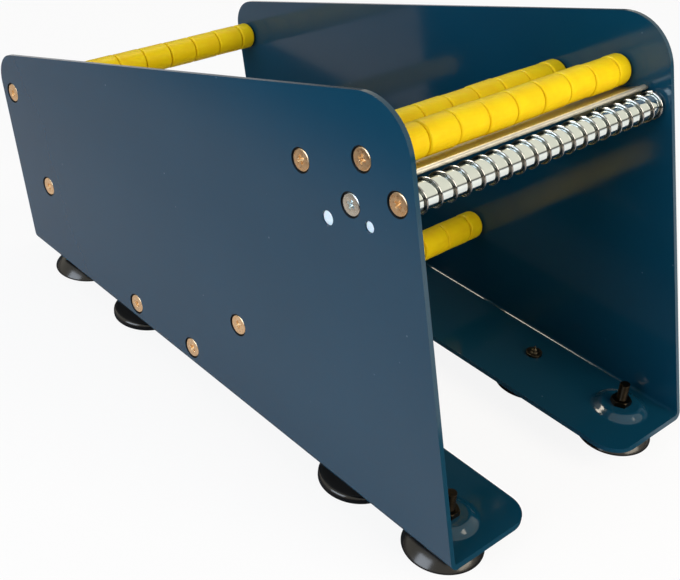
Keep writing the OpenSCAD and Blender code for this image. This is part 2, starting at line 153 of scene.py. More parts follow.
class FootSettings(bpy.types.PropertyGroup):
    colour: paint("Colour", "Black rubber of the suction cups and discs", "#101011")
    neck: distance("Cup neck", "Diameter of a suction cup's neck", 14)
    dome: distance("Cup dome", "Height of a suction cup's dome", 9)
    rim: distance("Cup rim", "Thickness of a suction cup's rim", 1.2)
    hollow: distance("Cup hollow", "Depth of the hollow under a suction cup", 1.2)
    disc_edge: distance("Disc edge", "Radius of the rim of a disc foot", 2)
    disc_height: distance("Disc height", "Height of the disc of a disc foot", 4.2)
    disc_neck: distance("Disc neck", "Diameter of a disc foot's neck", 18)
    screw: distance("Foot screw", "Diameter of a disc foot's screw", 5.2)
    screw_head: distance("Foot screw head", "Height of the head of a disc foot's screw", 2.6)
    thread: distance("Thread pitch", "Pitch of the stud's M6 thread", 1.0)
    screw_thread: distance("Screw pitch", "Pitch of a foot screw's coarse thread", 1.6)


class StageSettings(bpy.types.PropertyGroup):
    floor_colour: paint("Floor", "Pale floor", "#fefefe")
    lens: FloatProperty(
        name="Lens", description="Focal length that the photograph's perspective gives, in millimetres",
        default=62.2, min=1)
    camera_at: FloatVectorProperty(
        name="Camera", description="Place of the camera", subtype="TRANSLATION", unit="LENGTH",
        default=(-391.01 * MM, -402.59 * MM, 393.97 * MM))
    camera_turn: FloatVectorProperty(
        name="Camera angles", description="Turn of the camera", subtype="EULER",
        default=(math.radians(56.9304), math.radians(-4.4007), math.radians(-42.4734)))


GROUPS = {
    "plate": PlateSettings,
    "sleeve": SleeveSettings,
    "roller": RollerSettings,
    "fixing": FixingSettings,
    "foot": FootSettings,
    "stage": StageSettings,
}


# Materials

OF_COLOURS = {"data_type": "RGBA"}  # Makes a Mix node blend socket 6 into socket 7 by socket 0


def add_node(tree, kind, settings=None, inputs=None):
    """Adds a node. inputs maps a socket's name or number to a value, or to the socket that feeds it."""
    node = tree.nodes.new(kind)
    for name, value in (settings or {}).items():
        setattr(node, name, value)
    for name, value in (inputs or {}).items():
        if isinstance(value, bpy.types.NodeSocket):
            tree.links.new(value, node.inputs[name])
        else:
            node.inputs[name].default_value = value
    return node


def per(size_mm):
    """The texture scale that makes a pattern's feature this many millimetres wide."""
    return 1 / (size_mm * MM)


def opaque(colour):
    """A colour with its alpha, as colour sockets take it."""
    return (*colour[:3], 1)


def new_material(name):
    """An empty material, its node tree and the Object coordinates that its patterns follow."""
    material = bpy.data.materials.new(name)
    material.use_nodes = True
    material.node_tree.nodes.clear()
    tree = material.node_tree
    place = add_node(tree, "ShaderNodeTexCoord").outputs["Object"]
    return material, tree, place


def grain(tree, along, size_mm, detail, strength, depth_mm):
    """A fine relief on the given coordinates, size_mm wide and depth_mm deep, as a bump."""
    relief = add_node(tree, "ShaderNodeTexNoise", inputs={
        "Vector": along, "Scale": per(size_mm), "Detail": detail})
    return add_node(tree, "ShaderNodeBump", inputs={
        "Height": relief.outputs["Fac"], "Strength": strength, "Distance": depth_mm * MM})


def finish_material(material, colour, rough, bump, numbers):
    """Feeds the mixed colour, the roughness and the bump to the surface shader. The numbers that are
    the same all over are set on it directly."""
    tree = material.node_tree
    shader = add_node(tree, "ShaderNodeBsdfPrincipled", inputs={
        "Base Color": colour.outputs[2], "Roughness": rough, "Normal": bump.outputs["Normal"], **numbers})
    add_node(tree, "ShaderNodeOutputMaterial", inputs={"Surface": shader.outputs["BSDF"]})
    return material


def powder_coat(settings):
    """Gloss polyester powder coat, sprayed on sheet steel and baked. The coat flows out with a faint
    orange peel, so it mirrors what is near it with soft, slightly wavy edges."""
    material, tree, place = new_material("gloss_powder_coat")
    dark = Vector(settings.colour) * 0.9
    pale = Vector(settings.colour) * 1.08
    cloud = add_node(tree, "ShaderNodeTexNoise", inputs={"Vector": place, "Scale": per(70), "Detail": 3})
    colour = add_node(tree, "ShaderNodeMix", OF_COLOURS, {
        0: cloud.outputs["Fac"], 6: opaque(dark), 7: opaque(pale)})
    # Specks of dust, half a millimetre across and a few centimetres apart
    speck = add_node(tree, "ShaderNodeTexVoronoi", inputs={"Vector": place, "Scale": per(14)})
    dusty = add_node(tree, "ShaderNodeMapRange", inputs={
        "Value": speck.outputs["Distance"], "From Min": 0.018, "From Max": 0.04,
        "To Min": 0.22, "To Max": 0.0})
    colour = add_node(tree, "ShaderNodeMix", OF_COLOURS, {
        0: dusty.outputs["Result"], 6: colour.outputs[2], 7: opaque(linear("#8fa6b4"))})
    wiped = add_node(tree, "ShaderNodeMapping", inputs={"Vector": place, "Scale": (1, 0.25, 1)})
    smear = add_node(tree, "ShaderNodeTexNoise", inputs={
        "Vector": wiped.outputs["Vector"], "Scale": per(22), "Detail": 5, "Roughness": 0.6})
    rough = add_node(tree, "ShaderNodeMapRange", inputs={
        "Value": smear.outputs["Fac"], "From Min": 0.3, "From Max": 0.75, "To Min": 0.06, "To Max": 0.15})
    # Real orange peel is 1 to 3 mm from crest to crest
    bump = grain(tree, place, 2.2, 1, 0.2, 0.02)
    return finish_material(material, colour, rough.outputs["Result"], bump, {
        "IOR": 1.5, "Specular IOR Level": 0.45})


def sleeve_plastic(settings):
    """Low-density polyethylene sleeve, extruded and cut: satin and slightly waxy, warmer where it has
    been handled, with faint lines left along it by the die."""
    material, tree, place = new_material("polyethylene_sleeve")
    warm = Vector(linear("#e8bd0a"))
    patch = add_node(tree, "ShaderNodeTexNoise", inputs={"Vector": place, "Scale": per(9), "Detail": 4})
    share = add_node(tree, "ShaderNodeMapRange", inputs={
        "Value": patch.outputs["Fac"], "From Min": 0.35, "From Max": 0.7, "To Min": 0.0, "To Max": 0.55})
    colour = add_node(tree, "ShaderNodeMix", OF_COLOURS, {
        0: share.outputs["Result"], 6: opaque(settings.colour), 7: opaque(warm)})
    drawn = add_node(tree, "ShaderNodeMapping", inputs={"Vector": place, "Scale": (0.08, 1, 1)})
    rough = add_node(tree, "ShaderNodeMapRange", inputs={
        "Value": patch.outputs["Fac"], "From Min": 0.3, "From Max": 0.7, "To Min": 0.36, "To Max": 0.5})
    bump = grain(tree, drawn.outputs["Vector"], 0.7, 3, 0.25, 0.03)
    return finish_material(material, colour, rough.outputs["Result"], bump, {
        "IOR": 1.51, "Specular IOR Level": 0.1, "Subsurface Weight": 0.12,
        "Subsurface Scale": 1.2 * MM, "Subsurface Radius": (1.0, 0.6, 0.15)})


def chrome_plate():
    """Bright chrome plate on a ground tube: a near mirror with faint grinding rings round the tube,
    drawn coarser than real ones so that they show."""
    material, tree, place = new_material("bright_chrome_plate")
    ground = add_node(tree, "ShaderNodeMapping", inputs={"Vector": place, "Scale": (1, 0.04, 0.04)})
    haze = add_node(tree, "ShaderNodeTexNoise", inputs={"Vector": place, "Scale": per(6), "Detail": 4})
    rough = add_node(tree, "ShaderNodeMapRange", inputs={
        "Value": haze.outputs["Fac"], "From Min": 0.3, "From Max": 0.75, "To Min": 0.05, "To Max": 0.14})
    tint = add_node(tree, "ShaderNodeMix", OF_COLOURS, {
        0: haze.outputs["Fac"], 6: opaque(linear("#d9e3e2")), 7: opaque(linear("#eaf0ee"))})
    bump = grain(tree, ground.outputs["Vector"], 0.35, 3, 0.15, 0.01)
    return finish_material(material, tint, rough.outputs["Result"], bump, {"Metallic": 1.0})


def drawn_steel(name, pale_hex, dark_hex, along, rough_low, rough_high):
    """Cold-drawn or plated steel. Die lines, drawn coarser than real ones so that they show, run along
    the piece and the plating is a little uneven, so highlights are long and soft."""
    material, tree, place = new_material(name)
    stretched = add_node(tree, "ShaderNodeMapping", inputs={"Vector": place, "Scale": along})
    lines = add_node(tree, "ShaderNodeTexNoise", inputs={
        "Vector": stretched.outputs["Vector"], "Scale": per(0.4), "Detail": 4})
    cloud = add_node(tree, "ShaderNodeTexNoise", inputs={"Vector": place, "Scale": per(4), "Detail": 5})
    tint = add_node(tree, "ShaderNodeMix", OF_COLOURS, {
        0: cloud.outputs["Fac"], 6: opaque(linear(dark_hex)), 7: opaque(linear(pale_hex))})
    rough = add_node(tree, "ShaderNodeMapRange", inputs={
        "Value": lines.outputs["Fac"], "From Min": 0.3, "From Max": 0.7,
        "To Min": rough_low, "To Max": rough_high})
    bump = add_node(tree, "ShaderNodeBump", inputs={
        "Height": lines.outputs["Fac"], "Strength": 0.2, "Distance": 0.015 * MM})
    return finish_material(material, tint, rough.outputs["Result"], bump, {"Metallic": 1.0})


def yellow_zinc(settings):
    """Yellow chromate over zinc on a pressed screw: coppery, with pale streaks where the film is thin."""
    material, tree, place = new_material("yellow_chromate_zinc")
    film = add_node(tree, "ShaderNodeTexNoise", inputs={"Vector": place, "Scale": per(1.6), "Detail": 5})
    share = add_node(tree, "ShaderNodeMapRange", inputs={
        "Value": film.outputs["Fac"], "From Min": 0.4, "From Max": 0.7, "To Min": 0.0, "To Max": 0.6})
    tint = add_node(tree, "ShaderNodeMix", OF_COLOURS, {
        0: share.outputs["Result"], 6: opaque(settings.screw_colour), 7: opaque(linear("#faeacd"))})
    rough = add_node(tree, "ShaderNodeMapRange", inputs={
        "Value": film.outputs["Fac"], "From Min": 0.3, "From Max": 0.7, "To Min": 0.22, "To Max": 0.38})
    bump = grain(tree, place, 0.3, 2, 0.3, 0.02)
    return finish_material(material, tint, rough.outputs["Result"], bump, {"Metallic": 1.0})


def white_nylon():
    """Moulded nylon plug, smooth and slightly translucent."""
    material, tree, place = new_material("moulded_nylon")
    speck = add_node(tree, "ShaderNodeTexNoise", inputs={"Vector": place, "Scale": per(1.2), "Detail": 3})
    tint = add_node(tree, "ShaderNodeMix", OF_COLOURS, {
        0: speck.outputs["Fac"], 6: opaque(linear("#cfdde4")), 7: opaque(linear("#dde9ef"))})
    bump = add_node(tree, "ShaderNodeBump", inputs={
        "Height": speck.outputs["Fac"], "Strength": 0.1, "Distance": 0.02 * MM})
    return finish_material(material, tint, 0.35, bump, {
        "Subsurface Weight": 0.2, "Subsurface Scale": 1.0 * MM})


def black_rubber(name, settings, low_rough, high_rough, low_z, high_z, grain_mm):
    """Moulded black rubber. The polished parts of its mould leave a gloss and the spark-eroded ones a
    matt grain, so its roughness changes with the height over the bench. It gathers a little dust."""
    material, tree, place = new_material(name)
    dust = add_node(tree, "ShaderNodeTexNoise", inputs={
        "Vector": place, "Scale": per(5), "Detail": 6, "Roughness": 0.65})
    share = add_node(tree, "ShaderNodeMapRange", inputs={
        "Value": dust.outputs["Fac"], "From Min": 0.55, "From Max": 0.8, "To Min": 0.0, "To Max": 0.15})
    tint = add_node(tree, "ShaderNodeMix", OF_COLOURS, {
        0: share.outputs["Result"], 6: opaque(settings.colour), 7: opaque(linear("#34332f"))})
    height = add_node(tree, "ShaderNodeSeparateXYZ", inputs={0: place})
    gloss = add_node(tree, "ShaderNodeMapRange", inputs={
        "Value": height.outputs["Z"], "From Min": low_z, "From Max": high_z,
        "To Min": low_rough, "To Max": high_rough})
    rough = add_node(tree, "ShaderNodeMath", {"operation": "MULTIPLY_ADD"}, {
        0: share.outputs["Result"], 1: 1.0, 2: gloss.outputs["Result"]})
    bump = grain(tree, place, grain_mm, 2, 0.15, 0.02)
    return finish_material(material, tint, rough.outputs["Value"], bump, {"IOR": 1.52})


# Mesh helpers


def add_object(name, data):
    """A new object in the scene, of a mesh, a lamp or a camera."""
    made = bpy.data.objects.new(name, data)
    bpy.context.scene.collection.objects.link(made)
    return made


def add_shape(name, shape):
    """A new object of a bmesh, which is used up."""
    mesh = bpy.data.meshes.new(name)
    shape.to_mesh(mesh)
    shape.free()
    return add_object(name, mesh)


def add_piece(name, shape, material, node, body=FRAME_BODY):
    """Makes an object of a finished bmesh, hangs it on the empty of the body that carries it, and hides
    the CAD node that it stands for.
    """
    piece = add_shape(name, shape)
    mesh = piece.data
    mesh.polygons.foreach_set("use_smooth", [True] * len(mesh.polygons))
    mesh.materials.append(material)
    piece.modifiers.new("even_normals", "WEIGHTED_NORMAL").weight = 60
    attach(piece, body)
    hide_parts(node)
    return piece


def arc(centre, radius, start, end, count):
    """Points on an arc, in the outline's own (radius, height) plane, angles in degrees."""
    angles = [math.radians(start + (end - start) * i / count) for i in range(count + 1)]
    return [(centre[0] + radius * math.cos(a), centre[1] + radius * math.sin(a)) for a in angles]


def close_shape(shape, merge=0.004 * MM):
    """Merges doubles and turns the faces outwards."""
    bmesh.ops.remove_doubles(shape, verts=shape.verts, dist=merge)
    bmesh.ops.recalc_face_normals(shape, faces=shape.faces)


def turned_shape(outline, axis, foot, steps, closed=False):
    """An outline of (radius, height) points, spun about an axis through foot."""
    shape = bmesh.new()
    out = UP if axis is ALONG_X else ALONG_X
    verts = [shape.verts.new(foot + out * r + axis * h) for r, h in outline]
    pairs = list(zip(verts, verts[1:])) + ([(verts[-1], verts[0])] if closed else [])
    edges = [shape.edges.new(pair) for pair in pairs]
    bmesh.ops.spin(shape, geom=verts + edges, cent=foot, axis=axis, angle=FULL_TURN,
                   steps=steps, use_merge=True)
    close_shape(shape)
    return shape


def copy_of_node(node):
    """A merged copy of a CAD node, its flat faces joined, ready to have its edges rounded."""
    shape = bmesh.new()
    shape.from_mesh(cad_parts[node].data)
    bmesh.ops.remove_doubles(shape, verts=shape.verts, dist=0.001 * MM)
    bmesh.ops.dissolve_limit(shape, angle_limit=FLAT_ANGLE, verts=shape.verts, edges=shape.edges)
    return shape


def sharp_edges(shape, least=32):
    """The edges between two faces that turn by more than least degrees."""
    limit = math.radians(least)
    return [e for e in shape.edges if len(e.link_faces) == 2 and e.calc_face_angle(0) > limit]


def round_edges(shape, edges, radius, segments=3):
    """Rounds edges with a bevel of a few segments."""
    bmesh.ops.bevel(shape, geom=edges, offset=radius, offset_type="OFFSET", affect="EDGES",
                    segments=segments, profile=0.5, material=-1, clamp_overlap=True)


def rounded_copy(node, least, radius, segments=2):
    """A copy of a CAD node with its edges sharper than least degrees rounded."""
    shape = copy_of_node(node)
    round_edges(shape, sharp_edges(shape, least), radius, segments)
    return shape


def cut_shape(shape, cutters):
    """Takes cutter shapes away from a shape, each by an exact Boolean, and returns the result."""
    objects = [add_shape("scratch", part) for part in (shape, *cutters)]
    body = objects[0]
    for cutter in objects[1:]:
        cut = body.modifiers.new("cut", "BOOLEAN")
        cut.operation = "DIFFERENCE"
        cut.solver = "EXACT"
        cut.object = cutter
    graph = bpy.context.evaluated_depsgraph_get()
    result = bmesh.new()
    result.from_mesh(body.evaluated_get(graph).to_mesh())
    for scratch in objects:
        mesh = scratch.data
        bpy.data.objects.remove(scratch)
        bpy.data.meshes.remove(mesh)
    return result


def add_copy(target, source, place):
    """Adds a placed copy of one bmesh to another."""
    mesh = bpy.data.meshes.new("copy")
    source.to_mesh(mesh)
    mesh.transform(place)
    if place.determinant() < 0:
        mesh.flip_normals()
    target.from_mesh(mesh)
    bpy.data.meshes.remove(mesh)


def thread_shape(foot, radius, pitch, low, high, steps=28):
    """A screw thread from low to high over foot: a zigzag outline spun through one turn, rising by one
    pitch, so that it meets itself, and cut square at both ends. Its depth and the places of its root
    and crest are shares of the pitch."""
    root = radius - 0.55 * pitch
    start, spare_turns = low - 2.5 * pitch, 4
    outline = []
    for i in range(round((high - low) / pitch) + spare_turns):
        base = start + i * pitch
        outline += [(root, base), (root, base + 0.12 * pitch), (radius, base + 0.45 * pitch),
                    (radius, base + 0.6 * pitch)]
    shape = bmesh.new()
    verts = [shape.verts.new(foot + ALONG_X * r + UP * h) for r, h in outline]
    edges = [shape.edges.new(pair) for pair in zip(verts, verts[1:])]
    bmesh.ops.spin(shape, geom=verts + edges, cent=foot, axis=UP, angle=FULL_TURN,
                   dvec=UP * pitch / steps, steps=steps)
    bmesh.ops.remove_doubles(shape, verts=shape.verts, dist=0.002 * MM)
    for level, normal in ((low, -UP), (high, UP)):
        bmesh.ops.bisect_plane(shape, geom=shape.verts[:] + shape.edges[:] + shape.faces[:],
                               plane_co=foot + UP * level, plane_no=normal, clear_outer=True)
    bmesh.ops.holes_fill(shape, edges=[e for e in shape.edges if e.is_boundary])
    bmesh.ops.recalc_face_normals(shape, faces=shape.faces)
    return shape


# One operator for each group of like pieces


class PieceOperator:
    """What the piece operators share: undo, and the scene's settings."""

    bl_options = {"REGISTER", "UNDO"}

    def settings(self, context, group):
        return getattr(context.scene, "dispenser_" + group)


class DISPENSER_OT_plates(PieceOperator, bpy.types.Operator):
    """Finish both side plates with rounded, coated edges and smooth pressed pads"""

    bl_idname = "dispenser.plates"
    bl_label = "Side Plates"

    def execute(self, context):
        settings = self.settings(context, "plate")
        coat = powder_coat(settings)
        # Painted shade: a near-black material for the countersink walls, standing in for the shadow in
        # the gap round each head
        cut = drawn_steel("countersink_painted_shade", "#1d2226", "#0f1317", (1, 1, 1), 0.4, 0.6)
        for side in SIDES:
            node = side + "_side_plate"
            shape = copy_of_node(node)
            pad_edges = [e for e in sharp_edges(shape, 25) if self.on_pad(e, side)]
            round_edges(shape, pad_edges, settings.pad_round, 5)
            round_edges(shape, sharp_edges(shape), settings.edge_round)
            plate = add_piece(side + "_plate", shape, coat, node)
            plate.data.materials.append(cut)
            holes = [middle(name) for name in (*rod_nodes(), side + "_peel_screw")]
            self.paint_countersink_shade(plate.data, holes, settings)
        return {"FINISHED"}

    def paint_countersink_shade(self, mesh, holes, settings):
        """Paints shade on the countersinks: the walls round each head get the near-black second material,
        a painted shadow for the gap round the head.
        A wall is a face that leans away from the plate's own side."""
        upright = 0.995
        for face in mesh.polygons:
            at = face.center
            near = min(math.hypot(at.y - hole.y, at.z - hole.z) for hole in holes)
            if near < settings.sink_reach and abs(face.normal.x) < upright:
                # Painted shade: this wall takes the near-black second material
                face.material_index = 1

    def on_pad(self, edge, side):
        """True for the ring where a pressed pad meets the flange and for the pad's upper ring."""
        inner, outer, depth = 8 * MM, 15 * MM, 4.5 * MM
        spot = (edge.verts[0].co + edge.verts[1].co) / 2
        for end in ("front_", "rear_"):
            centre = middle(end + side + "_stud")
            nut_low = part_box(end + side + "_nut")[0]
            away = math.hypot(spot.x - centre.x, spot.y - centre.y)
            if inner < away < outer and spot.z > nut_low.z - depth:
                return True
        return False


class DISPENSER_OT_rods(PieceOperator, bpy.types.Operator):
    """Finish the tie rods, with the edges of their ends rounded"""

    bl_idname = "dispenser.rods"
    bl_label = "Tie Rods"

    def execute(self, context):
        settings = self.settings(context, "fixing")
        steel = drawn_steel("cold_drawn_steel", "#c9ccce", "#9ea2a5", (0.05, 1, 1), 0.2, 0.34)
        for node in rod_nodes():
            add_piece(node + "_bar", rounded_copy(node, 60, settings.edge_round), steel, node)
        return {"FINISHED"}


class DISPENSER_OT_sleeves(PieceOperator, bpy.types.Operator):
    """Make the loose sleeves on each rod, with rounded seams and a slight lean"""

    bl_idname = "dispenser.sleeves"
    bl_label = "Sleeves"

    def execute(self, context):
        settings = self.settings(context, "sleeve")
        plastic = sleeve_plastic(settings)
        for number, rod in enumerate(SLEEVED):
            node = rod + "_sleeves"
            shape = self.sleeve_row(settings, node, rod + "_rod", random.Random(SEED + number))
            add_piece(rod + "_roller", shape, plastic, node, rod + "_roller")
        return {"FINISHED"}

    def sleeve_row(self, settings, node, rod, chance):
        """Full sleeves along the node, and a cut one at each end that takes up what is left. Each
        leans, slides and hangs a little off its rod, by shares of the room that it has."""
        most_slide, most_drop = 0.3, 0.7
        low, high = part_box(node)
        radius = half(node, "z")
        bore = half(rod, "z") + settings.looseness
        row = high.x - low.x
        step = settings.length + settings.gap
        full = int((row - settings.length - settings.gap) // step)
        end = (row - full * step - settings.gap) / 2
        lengths = [end] + [settings.length] * full + [end]
        centre = middle(node)
        shape = bmesh.new()
        at = low.x
        for number, length in enumerate(lengths):
            first = number == 0
            last = number == full + 1
            near = settings.end_round if first else settings.seam_round
            far = settings.end_round if last else settings.seam_round
            sleeve = turned_shape(self.outline(length, bore, radius, near, far), ALONG_X,
                                  Vector((-length / 2, 0, 0)), settings.steps, closed=True)
            lean = math.radians(chance.uniform(-settings.tilt, settings.tilt))
            aside = math.radians(chance.uniform(-settings.tilt, settings.tilt))
            slide = 0 if first or last else chance.uniform(-most_slide, most_slide) * settings.gap
            aside_y, aside_z = (
                chance.uniform(-most_drop, most_drop) * settings.looseness for _ in range(2))
            place = Vector((at + length / 2 + slide, centre.y + aside_y, centre.z + aside_z))
            turn = Matrix.Rotation(lean, 4, "Y") @ Matrix.Rotation(aside, 4, "Z")
            add_copy(shape, sleeve, Matrix.Translation(place) @ turn)
            sleeve.free()
            at += length + settings.gap
        return shape

    def outline(self, length, bore, radius, near, far):
        """A sleeve's section: its bore, then its outer face, which is a little hollow along its
        middle and has a rounded edge at each end."""
        chamfer, waist = 0.2 * MM, 0.03 * MM
        return (
            [(bore, length - chamfer), (bore, chamfer), (bore + chamfer, 0)]
            + arc((radius - near, near), near, -90, 0, 8)
            + [(radius - waist, length / 2)]
            + arc((radius - far, length - far), far, 0, 90, 8)
            + [(bore + chamfer, length)]
        )


class DISPENSER_OT_front_roller(PieceOperator, bpy.types.Operator):
    """Make the chrome tube and wind the grip wire round it"""

    bl_idname = "dispenser.front_roller"
    bl_label = "Front Roller"

    def execute(self, context):
        settings = self.settings(context, "roller")
        self.make_tube()
        self.wind_wire(settings)
        return {"FINISHED"}

    def make_tube(self):
        """The tube, a sliding fit on its rod, with rounded ends."""
        low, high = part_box("liner_tube")
        radius, length = half("liner_tube", "z"), high.x - low.x
        fit, lip = 0.08 * MM, 0.3 * MM
        bore = half("liner_rod", "z") + fit
        outline = (
            [(bore, length), (bore, 0)]
            + arc((radius - lip, lip), lip, -90, 0, 5)
            + arc((radius - lip, length - lip), lip, 0, 90, 5)
        )
        centre = middle("liner_tube")
        shape = turned_shape(outline, ALONG_X, Vector((low.x, centre.y, centre.z)), 96, closed=True)
        add_piece("front_roller_tube", shape, chrome_plate(), "liner_tube", "liner_roller")

    def wind_wire(self, settings):
        """One closed turn, the open turns and one more closed turn, each spun on from the last ring."""
        low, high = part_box("grip_spring")
        centre = middle("liner_tube")
        wire_r = settings.wire / 2
        coil_r = half("liner_tube", "z") + wire_r + settings.slack
        closed = 1.15 * settings.wire  # A closed turn lies almost against the next one
        open_length = high.x - low.x - settings.wire - 2 * closed
        slope = math.atan2(settings.pitch, FULL_TURN * coil_r) / 2
        foot = Vector((low.x + wire_r, centre.y, centre.z))
        lie = Matrix.Translation(foot + Vector((0, coil_r, 0))) @ Matrix.Rotation(-slope, 4, "Y")
        shape = bmesh.new()
        ring = bmesh.ops.create_circle(shape, segments=14, radius=wire_r, matrix=lie)["verts"]
        first = shape.edges[:]
        last = ring + first
        open_turns = open_length / settings.pitch
        for length, turns in ((closed, 1), (open_length, open_turns), (closed, 1)):
            steps = round(turns * settings.turn_steps)
            last = bmesh.ops.spin(shape, geom=last, cent=foot, axis=ALONG_X, angle=turns * FULL_TURN,
                                  dvec=ALONG_X * length / steps, steps=steps)["geom_last"]
        run = (lie.to_3x3() @ UP) * wire_r
        end_run = Matrix.Rotation((open_turns + 2) * FULL_TURN, 3, ALONG_X) @ run
        end_edges = [g for g in last if isinstance(g, bmesh.types.BMEdge)]
        for loop, push in ((first, -run), (end_edges, end_run)):
            made = bmesh.ops.extrude_edge_only(shape, edges=loop)["geom"]
            tips = [g for g in made if isinstance(g, bmesh.types.BMVert)]
            bmesh.ops.translate(shape, verts=tips, vec=push)
            rim = [g for g in made if isinstance(g, bmesh.types.BMEdge)
                   and all(v in tips for v in g.verts)]
            bmesh.ops.edgeloop_fill(shape, edges=rim)
        close_shape(shape, 0.001 * MM)
        steel = drawn_steel("bright_spring_wire", "#c2c5c6", "#8e9193", (1, 1, 1), 0.08, 0.16)
        add_piece("grip_wire", shape, steel, "grip_spring", "liner_roller")


class DISPENSER_OT_peel_plate(PieceOperator, bpy.types.Operator):
    """Finish the peel plate and its rounded lip"""

    bl_idname = "dispenser.peel_plate"
    bl_label = "Peel Plate"

    def execute(self, context):
        shape = rounded_copy("peel_plate", 50, self.settings(context, "fixing").edge_round, 3)
        steel = drawn_steel("satin_stainless_sheet", "#d2cfc4", "#bab6aa", (0.04, 1, 1), 0.34, 0.5)
        add_piece("peel_sheet", shape, steel, "peel_plate")
        return {"FINISHED"}


def cross_cutters(settings):
    """The shapes that press a cross into a head whose face is at zero and which points along +X: two
    wings that taper inwards, by these shares along and across a wing, and a cone at the middle."""
    along, across = 0.42, 0.75
    cutters = []
    for turned, narrow in ((0, (along, across)), (math.pi / 2, (across, along))):
        wing = bmesh.new()
        size = Matrix.Diagonal((2 * settings.slot_depth, settings.slot_length, settings.slot_width, 1))
        bmesh.ops.create_cube(wing, size=1, matrix=Matrix.Rotation(turned, 4, "X") @ size)
        for vert in wing.verts:
            if vert.co.x > 0:
                vert.co.y *= narrow[0]
                vert.co.z *= narrow[1]
        upright = [e for e in wing.edges if abs(e.verts[0].co.x - e.verts[1].co.x) > settings.slot_depth]
        round_edges(wing, upright, 0.3 * MM, 2)
        cutters.append(wing)
    heart = bmesh.new()
    bmesh.ops.create_cone(heart, cap_ends=True, segments=24, radius1=1.9 * MM, radius2=0.6 * MM,
                          depth=2 * settings.slot_depth, matrix=Matrix.Rotation(math.pi / 2, 4, "Y"))
    return cutters + [heart]


def cross_head(settings, outline):
    """A turned screw along +X with its face at zero and a cross pressed into it."""
    shape = turned_shape(outline, ALONG_X, Vector((0, 0, 0)), 48)
    cut = cut_shape(shape, cross_cutters(settings))
    at_face = 0.01 * MM
    rim = [e for e in sharp_edges(cut, 40) if max(v.co.x for v in e.verts) < at_face]
    round_edges(cut, rim, 0.1 * MM, 2)
    return cut


class DISPENSER_OT_screws(PieceOperator, bpy.types.Operator):
    """Make the countersunk screws with a tapered cross, the white plugs and the peel plate's nuts"""

    bl_idname = "dispenser.screws"
    bl_label = "Screws and Plugs"

    def execute(self, context):
        settings = self.settings(context, "fixing")
        yellow = yellow_zinc(settings)
        clear = drawn_steel("clear_zinc_plate", "#e9f4f9", "#d0dbe0", (1, 1, 1), 0.16, 0.3)
        nylon = white_nylon()
        chance = random.Random(SEED)
        screw = cross_head(settings, self.outline(settings))
        for side in SIDES:
            way = 1 if side == "left" else -1
            pins, nut, fixing = side + "_peel_pins", side + "_peel_nut", side + "_peel_screw"
            for name, node, places, material, slot in (
                (side + "_screws", side + "_rod_screws", rod_nodes(), yellow, "yellow_zinc"),
                (side + "_peel_fixing", fixing, (fixing,), clear, "clear_zinc"),
            ):
                group = bmesh.new()
                for place in places:
                    self.place_screw(group, screw, settings, node, middle(place), way, chance)
                add_piece(name, group, material, node)
            for node, material, slot in ((pins, nylon, "white_pin"), (nut, clear, "clear_zinc")):
                shape = rounded_copy(node, 50, settings.edge_round)
                add_piece(node + "_body", shape, material, node)
        screw.free()
        return {"FINISHED"}

    def place_screw(self, group, screw, settings, node, at, way, chance):
        """Adds one screw, its shank drawn out to the node's length: its face is the node's outer end."""
        low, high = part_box(node)
        face = low.x if way > 0 else high.x
        shape = screw.copy()
        for vert in shape.verts:
            if vert.co.x > settings.template / 2:
                vert.co.x += high.x - low.x - settings.template
        turn = Matrix.Rotation(chance.uniform(0, FULL_TURN), 4, "X")
        flip = Matrix.Scale(way, 4, ALONG_X)
        add_copy(group, shape, Matrix.Translation((face, at.y, at.z)) @ flip @ turn)
        shape.free()

    def outline(self, settings):
        """A screw's half section: a flat face with a faint turned groove, a rolled rim, the cone and
        the shank."""
        clear, groove, chamfer = 0.3 * MM, 0.06 * MM, 0.5 * MM
        head, shank, rim = settings.head / 2 - clear, settings.shank / 2, settings.rim
        length = settings.template
        return (
            [(0, 0), (head - rim - 0.5 * MM, 0), (head - rim - 0.3 * MM, groove)]
            + arc((head - rim, rim), rim, -90, 0, 7)
            + [(shank, head - shank + clear), (shank, length - chamfer), (shank - chamfer, length),
               (0, length)]
        )


class DISPENSER_OT_suction_cups(PieceOperator, bpy.types.Operator):
    """Make the four suction cups, with domed skirts and thin rims"""

    bl_idname = "dispenser.suction_cups"
    bl_label = "Suction Cups"

    def execute(self, context):
        settings = self.settings(context, "foot")
        rubber = black_rubber("polished_rubber", settings, 0.2, 0.2, 0, 8 * MM, 1.4)
        for corner in CORNERS:
            node = corner + "_cup"
            outline = self.outline(settings, half(node, "x"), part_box(node)[1].z)
            shape = turned_shape(outline, UP, below(node), 80)
            add_piece(corner + "_suction_cup", shape, rubber, node)
        return {"FINISHED"}

    def outline(self, settings, radius, height):
        """From the middle of the hollow out to the rim, then over the dome and up the neck."""
        neck, rim, dome, hollow = (settings.neck / 2, settings.rim, settings.dome, settings.hollow)
        edge, fillet, chamfer, steps = 0.6 * MM, 1.2 * MM, 0.2 * MM, 18
        skirt = [
            self.bezier((radius - 0.15 * MM, rim), (radius - 4.5 * MM, dome - 1 * MM),
                        (neck + fillet, dome), i / steps)
            for i in range(steps + 1)
        ]
        return (
            [(0, hollow), (radius * 0.6, hollow * 0.7), (radius - 2 * MM, 0.15 * MM),
             (radius - 1.4 * MM, 0)]
            + arc((radius - edge, edge), edge, -90, 40, 7)
            + skirt
            + arc((neck + fillet, dome + fillet), fillet, 270, 180, 6)[1:]
            + [(neck, height - chamfer), (neck - chamfer, height), (0, height)]
        )

    def bezier(self, start, control, end, share):
        """A point on a quadratic curve."""
        rest = 1 - share
        return tuple(rest * rest * a + 2 * rest * share * b + share * share * c
                     for a, b, c in zip(start, control, end))


